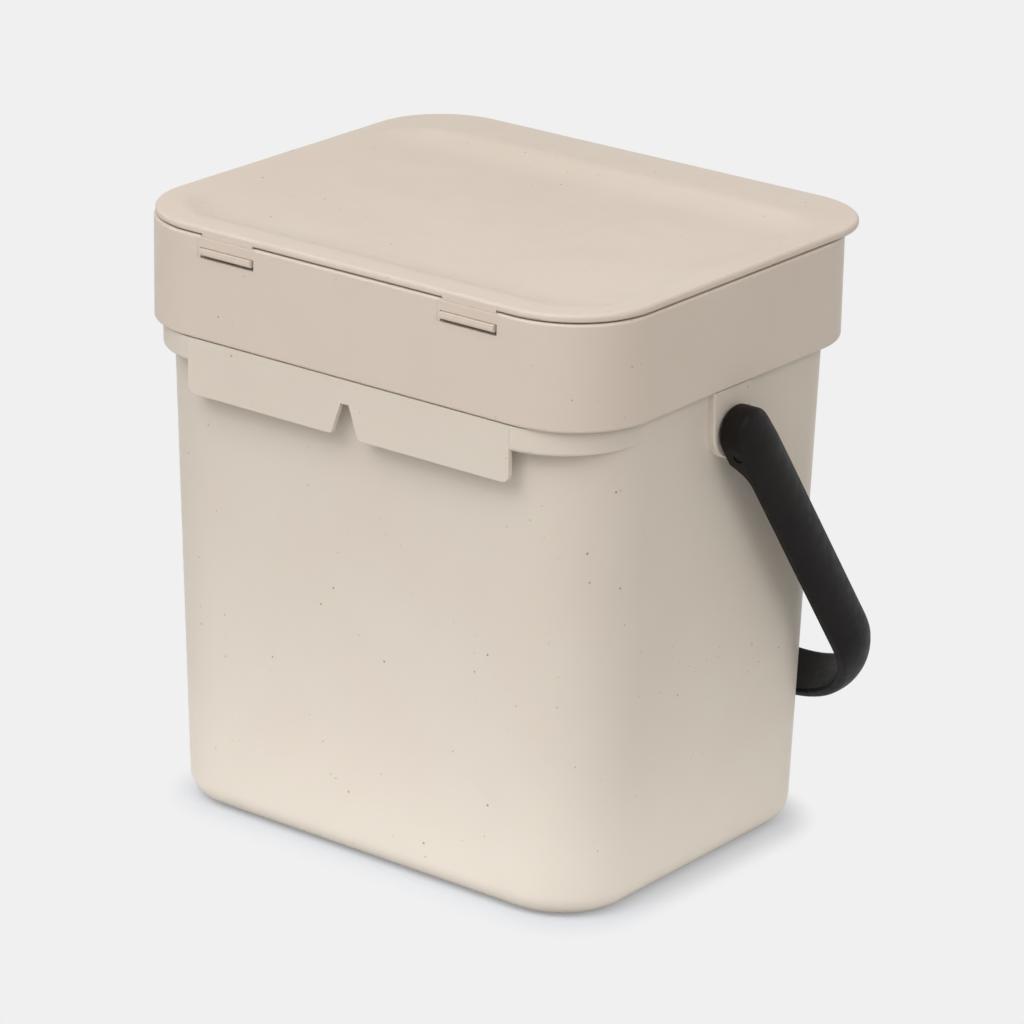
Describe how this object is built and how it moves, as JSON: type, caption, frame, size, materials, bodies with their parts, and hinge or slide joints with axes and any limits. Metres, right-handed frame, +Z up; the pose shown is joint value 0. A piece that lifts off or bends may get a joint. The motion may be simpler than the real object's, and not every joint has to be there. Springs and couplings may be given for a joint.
{
  "type": "waste bin",
  "caption": "Rounded rectangular kitchen bin with a lift-off collar, a rear-hinged lid that overhangs at the front, a swinging bail handle and a hanger plate.",
  "frame": {"origin": "centre of the bucket's base, on the surface the bin stands on", "axes": "+Z up; -Y is the front, where the lid overhangs and the bail hangs; +Y is the rear, with the hinges and the hanger plate; X runs along the width"},
  "size_m": [0.2652, 0.1976, 0.2506],
  "materials": {
    "bucket_plastic": "matte, fine dark speckle",
    "collar_plastic": "matte, fine dark speckle",
    "lid_plastic": "matte, fine dark speckle",
    "handle_plastic": "satin black"
  },
  "bodies": {
    "bin": {"bucket": "bucket_plastic", "pivot_washer_left": "handle_plastic", "pivot_washer_right": "handle_plastic"},
    "collar": {"collar": "collar_plastic"},
    "lid": {"lid": "lid_plastic"},
    "bail": {"handle": "handle_plastic", "pivot_stud_left": "handle_plastic", "pivot_stud_right": "handle_plastic"}
  },
  "joints": [
    {"name": "collar_lift", "type": "slide", "parent": "bin", "child": "collar", "axis": [0, 0, 1], "range_m": [0, 0.045]},
    {"name": "lid_hinge", "type": "hinge", "parent": "collar", "child": "lid", "pos_m": [0, 0.09202, 0.24445], "axis": [-1, 0, 0], "range_deg": [0, 100]},
    {"name": "bail_swing", "type": "hinge", "parent": "bin", "child": "bail", "pos_m": [0, 0.0012, 0.1873], "axis": [-1, 0, 0], "range_deg": [0, 292.2]}
  ]
}
